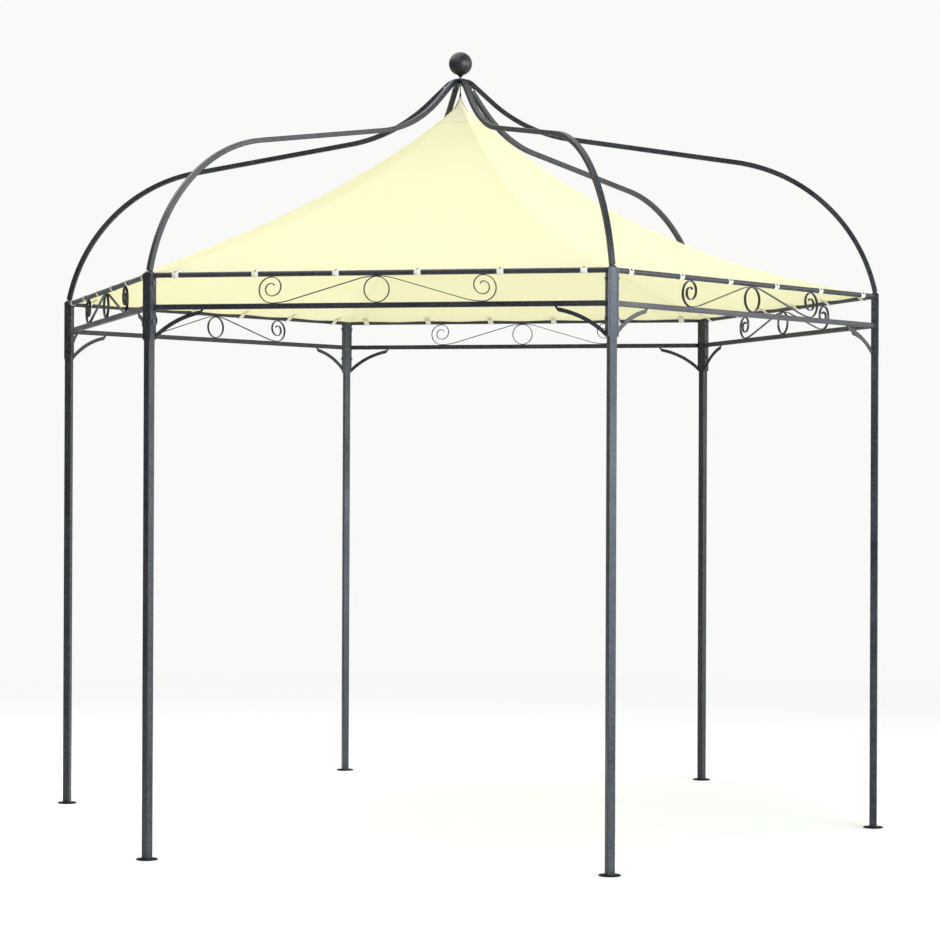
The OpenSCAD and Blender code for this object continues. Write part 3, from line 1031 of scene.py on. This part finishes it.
    def seam_lines(self) -> list[list[np.ndarray]]:
        """Draws the sewing lines.

        Returns:
            Two lines on each hip, one along each side's hem and patch, and two on each loop.
        """
        from_hip, from_hem, tab_rows = 7 * MM, 18 * MM, (14 * MM, 36 * MM)
        past_patch, in_patch, hip_end, gore_end = 1.1, 0.93, 0.985, 0.99
        hip_steps, gore_steps, tab_steps = 120, 90, 4
        lines = []
        up = self.cloth / 2 + 0.1 * MM
        over = up + self.strap_t + 0.4 * MM
        half = 0.4 * self.strap_w
        reaches = np.linspace(self.patch * past_patch, hip_end, hip_steps)
        inset = from_hip / (reaches * self.hem_a * math.sin(HALF_TURN))
        for side in Side:
            for sign in (-1, 1):
                lines.append(list(self.lifted(side, sign * (1 - inset), reaches, up)))
        along = np.linspace(-gore_end, gore_end, gore_steps)
        rings = ((1 - from_hem / self.hem_a, up), (self.patch * in_patch, up + 2 * self.cloth))
        for side in Side:
            for reach, lift in rings:
                lines.append(list(self.lifted(side, along, np.full_like(along, reach), lift)))
        for side, place in self.loop_places():
            for back in tab_rows:
                reach = 1 - back / self.hem_a
                spots = np.linspace(place - half, place + half, tab_steps)
                along = spots / (reach * self.hem_a * math.tan(HALF_TURN))
                lines.append(list(self.lifted(side, along, np.full_like(along, reach), over)))
        return lines

    def build_stitches(self, finish: Material) -> Object:
        """Lays the stitches along the sewing lines.

        Args:
            finish: The thread's material.

        Returns:
            The stitches.
        """
        points, edges = [], []
        for line in self.seam_lines():
            edges += [(len(points) + i, len(points) + i + 1) for i in range(len(line) - 1)]
            points += line
        made = mesh_object("canopy_stitches", points, [], None, edges)
        sizes = {"Pitch": 8 * MM, "Length": 5.5 * MM, "Thickness": 0.9 * MM, "Finish": finish}
        return StitchTree("stitch_rows").grow(made, sizes)

    def build_studs(self) -> Object:
        """Sets a press stud on the outer face of every loop.

        Returns:
            The studs.
        """
        points, facings = [], []
        for side, place in self.loop_places():
            out = outward(side.value)
            lean = math.radians(self.stud_lean[side])
            facing = out * math.cos(lean) + UP * math.sin(lean)
            rail = out * self.apothem + sideways(side.value) * place + UP * self.rail_z
            points.append(rail + facing * (self.rail_r + self.strap_t + PRESS_STUD.seat))
            facings.append(facing)
        return PRESS_STUD.build("press_studs", points, facings, STUD_BRONZE)

    def build(self) -> list[Object]:
        """Returns:
            The new pieces.
        """
        cream, webbing = CREAM.material(), WEBBING.material()
        sheet = self.sheet("canopy_sheet", 1.0, rows=96, lift=0.0, seam=self.seam, finish=cream)
        # The patch's finish is painted paler than the sheet's to cancel the shade of the doubled cloth:
        # painted light.
        patch = self.sheet("tip_patch", self.patch, rows=24, lift=1.6 * self.cloth,
                           seam=self.seam / 3, finish=PATCH_PAINTED_BRIGHT.material())
        loops = self.build_loops(webbing)
        strap = self.build_tip_strap(webbing)
        stitches = self.build_stitches(THREAD.material())
        studs = self.build_studs()
        pieces = [sheet, patch, loops, strap, stitches, studs]
        for piece in pieces:
            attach(piece, BODY)
        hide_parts(*(node_name("canopy", side) for side in Side))
        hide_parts("canopy_loops")
        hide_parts("canopy_tip_strap")
        return pieces


@dataclass
class Fasteners:
    """The bolts and screws that hold the frame together.

    Attributes:
        bar_t: Thickness of a panel's end bar.
        bar_bolts: Heights of the bolts in the end bars.
        crown_r, crown_drop: Place of the crown's screws, out from the axis and below the hub.
        neck_up, neck_in: Height of a rib's foot bolt above the post top, and the rib's inset there.
        neck_lean: Lean of the rib there, in degrees.
        heads: The side of each rib that its crown screw's head is on.
    """

    bar_t: float = 6 * MM
    bar_bolts: Span = (2.159, 2.015)
    crown_r: float = 66 * MM
    crown_drop: float = 26 * MM
    neck_up: float = 75 * MM
    neck_in: float = 14 * MM
    neck_lean: float = 14.0
    heads: dict[Corner, int] = field(default_factory=lambda: {
        Corner.RIGHT: 1, Corner.BACK_RIGHT: -1, Corner.BACK_LEFT: -1,
        Corner.LEFT: 1, Corner.FRONT_LEFT: -1, Corner.FRONT_RIGHT: 1,
    })

    def __post_init__(self) -> None:
        """Takes the post and rib sizes from the frame."""
        low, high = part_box(node_name("post", Corner.RIGHT))
        self.post_w = high.y - low.y
        self.post_r = (low.x + high.x) / 2
        self.post_h = high.z
        low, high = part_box(node_name("upper_rib", Corner.RIGHT))
        self.rib_w = high.y - low.y
        low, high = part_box("crown_hub")
        self.crown_z = (low.z + high.z) / 2

    def panel_bolts(self) -> Object:
        """Sets two hexagon bolts in every end bar.

        Returns:
            The bolts.
        """
        points, facings = [], []
        off = self.post_w / 2 + self.bar_t + PANEL_BOLT.seat
        for corner in Corner:
            post = outward(corner.value) * self.post_r
            for sign in (-1, 1):
                way = sideways(corner.value) * sign
                points += [post + way * off + UP * height for height in self.bar_bolts]
                facings += [way] * len(self.bar_bolts)
        return PANEL_BOLT.build("panel_bolts", points, facings, DARK_ZINC)

    def neck_bolts(self) -> Object:
        """Sets a small bolt in the inner face of every rib above its post.

        Returns:
            The bolts.
        """
        points, facings = [], []
        lean = math.radians(self.neck_lean)
        for corner in Corner:
            out = outward(corner.value)
            inner = -out * math.cos(lean) - UP * math.sin(lean)
            spot = out * (self.post_r - self.neck_in) + UP * (self.post_h + self.neck_up)
            points.append(spot + inner * (self.rib_w / 2 + NECK_BOLT.seat))
            facings.append(inner)
        return NECK_BOLT.build("neck_bolts", points, facings, DARK_ZINC)

    def crown_side(self, name: str, way: int, kind: Hardware, finish: Plating) -> Object:
        """Sets the heads or the nuts of the screws by the hub.

        Args:
            name: The object's name.
            way: 1 for the heads' side of each rib, -1 for the other side.
            kind: The screw or nut.
            finish: Its plating.

        Returns:
            The heads or nuts as one mesh.
        """
        points, facings = [], []
        for corner, side in self.heads.items():
            spot = outward(corner.value) * self.crown_r + UP * (self.crown_z - self.crown_drop)
            facing = sideways(corner.value) * side * way
            points.append(spot + facing * (self.rib_w / 2 + kind.seat))
            facings.append(facing)
        return kind.build(name, points, facings, finish)

    def build(self) -> list[Object]:
        """Builds all the fasteners.

        Returns:
            The new pieces.
        """
        pieces = [self.panel_bolts(), self.neck_bolts(),
                  self.crown_side("crown_screws", 1, CROWN_SCREW, BRIGHT_ZINC),
                  self.crown_side("crown_nuts", -1, CROWN_NUT, DARK_ZINC)]
        for piece in pieces:
            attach(piece, BODY)
        return pieces


@dataclass(frozen=True)
class Softbox:
    """A large soft light that faces the gazebo.

    Attributes:
        name: The light's name.
        way, far, height: Its direction from the axis in degrees, its distance and its height.
        size: Its width and height.
        power, colour: Its power in watts and its colour.
    """

    name: str
    way: float
    far: float
    height: float
    size: Span
    power: float
    colour: Colour = (1.0, 1.0, 1.0)

    def build(self, aim: Vector) -> None:
        """Adds the light, turned to a point.

        Args:
            aim: The point that it faces.
        """
        data = bpy.data.lights.new(self.name, "AREA")
        data.shape = "RECTANGLE"
        data.size, data.size_y = self.size
        data.energy = self.power
        data.color = self.colour
        made = bpy.data.objects.new(self.name, data)
        place = outward(self.way) * self.far + UP * self.height
        turn = (aim - place).to_track_quat("-Z", "Y").to_matrix().to_4x4()
        made.matrix_world = Matrix.Translation(place) @ turn
        made.visible_camera = False
        bpy.context.scene.collection.objects.link(made)


SOFTBOXES = (
    Softbox("front_softbox", -40, 9.5, 3.2, (6.0, 5.0), 920.0, (0.75, 0.87, 1.0)),
    Softbox("side_softbox", 2, 9.5, 3.2, (5.0, 5.0), 360.0),
    Softbox("top_softbox", 170, 3.5, 9.5, (10.0, 10.0), 740.0),
    Softbox("fill_softbox", -105, 8.0, 8.0, (5.0, 5.0), 160.0),
)


@dataclass
class Studio:
    """A pale floor and backdrop, a dim room with one bright side, soft lights and the camera.

    Attributes:
        eye: Place of the camera.
        yaw, pitch, roll: Its turn from straight ahead, in radians.
        lens, sensor: Focal length and width of the sensor in millimetres.
        aim_z: Height of the point that the lights face.
        floor, rim: Radius of the floor and number of its corners.
        fade: Distances at which the floor begins and ends to turn into the backdrop.
        pale: Colour of the floor and the backdrop.
        bright, dim: Colours of the light from the room's bright side and its other side.
        bright_way: Direction of the bright side, in degrees.
        edge: Cosines of the angles from there at which the room is all dim and all bright.
    """

    eye: tuple[float, float, float] = (2.2131, -10.7548, 1.4399)
    yaw: float = -0.1986
    pitch: float = 0.0026
    roll: float = 0.0041
    lens: float = 98.751
    sensor: float = 36.0
    aim_z: float = 1.8
    floor: float = 60.0
    rim: int = 64
    fade: Span = (2.2, 8.0)
    pale: Colour = (0.95, 0.95, 0.94)
    bright: Colour = (0.8, 0.8, 0.79)
    dim: Colour = (0.3, 0.3, 0.31)
    bright_way: float = 60.0
    edge: Span = (0.1, 0.6)

    def camera(self) -> None:
        """Sets up the scene's camera."""
        ahead = Vector((math.sin(self.yaw) * math.cos(self.pitch),
                        math.cos(self.yaw) * math.cos(self.pitch), math.sin(self.pitch)))
        level = Vector((math.cos(self.yaw), -math.sin(self.yaw), 0))
        over = level.cross(ahead)
        right = level * math.cos(self.roll) + over * math.sin(self.roll)
        up = over * math.cos(self.roll) - level * math.sin(self.roll)
        data = bpy.data.cameras.new("camera")
        data.sensor_width = self.sensor
        data.lens = self.lens
        data.clip_end = 4 * self.floor
        made = bpy.data.objects.new("camera", data)
        turn = Matrix((right, up, -ahead)).transposed().to_4x4()
        made.matrix_world = Matrix.Translation(self.eye) @ turn
        bpy.context.scene.collection.objects.link(made)
        bpy.context.scene.camera = made

    def room(self, graph: Graph, way: NodeSocket) -> NodeSocket:
        """Shades the room's light from its bright side to its dim side, behind a pale backdrop.

        Args:
            graph: The graph of the world or the floor.
            way: The direction that the light comes from.

        Returns:
            The room's colour.
        """
        unit = graph.fill("ShaderNodeVectorMath", "NORMALIZE", way).outputs["Vector"]
        turn = graph.fill("ShaderNodeVectorMath", "DOT_PRODUCT", unit, outward(self.bright_way))
        side = graph.spread(turn.outputs["Value"], self.edge)
        light = graph.tint(side, self.dim, self.bright)
        seen = graph.node("ShaderNodeLightPath").outputs["Is Camera Ray"]
        return graph.tint(seen, light, self.pale)

    def ground(self) -> None:
        """Lays the pale floor, which fades into the room far away."""
        material, graph = new_material("pale_floor")
        place = graph.node("ShaderNodeTexCoord").outputs["Object"]
        far = graph.fill("ShaderNodeVectorMath", "LENGTH", place).outputs["Value"]
        near = graph.node("ShaderNodeBsdfPrincipled", Base_Color=(*self.pale, 1), Roughness=0.9)
        glow = graph.node("ShaderNodeEmission", Color=self.room(graph, place), Strength=1.0)
        both = graph.blend(graph.spread(far, self.fade), near.outputs["BSDF"], glow.outputs["Emission"])
        graph.node("ShaderNodeOutputMaterial", Surface=both)
        rim = [outward(i * 360 / self.rim) * self.floor for i in range(self.rim)]
        mesh_object("floor", rim, [tuple(range(self.rim))], material)

    def build(self) -> None:
        """Sets up the camera, floor, room and lights."""
        self.camera()
        self.ground()
        world = bpy.data.worlds.new("pale_room")
        graph = cleared(world)
        way = graph.node("ShaderNodeTexCoord").outputs["Generated"]
        light = graph.node("ShaderNodeBackground", Color=self.room(graph, way), Strength=1.0)
        graph.node("ShaderNodeOutputWorld", Surface=light.outputs["Background"])
        bpy.context.scene.world = world
        bpy.context.scene.view_settings.view_transform = "Standard"
        for softbox in SOFTBOXES:
            softbox.build(UP * self.aim_z)


def main() -> None:
    """Builds and dresses the gazebo, piece by piece."""
    logging.basicConfig(level=logging.INFO, format="%(name)s: %(message)s")
    Studio().build()
    log.info("dressed %d steel nodes", SteelFrame().dress())
    for assembly in (Canopy(), Fasteners()):
        for piece in assembly.build():
            log.info("%s: %d faces", piece.name, len(piece.data.polygons))


if __name__ == "__main__":
    main()
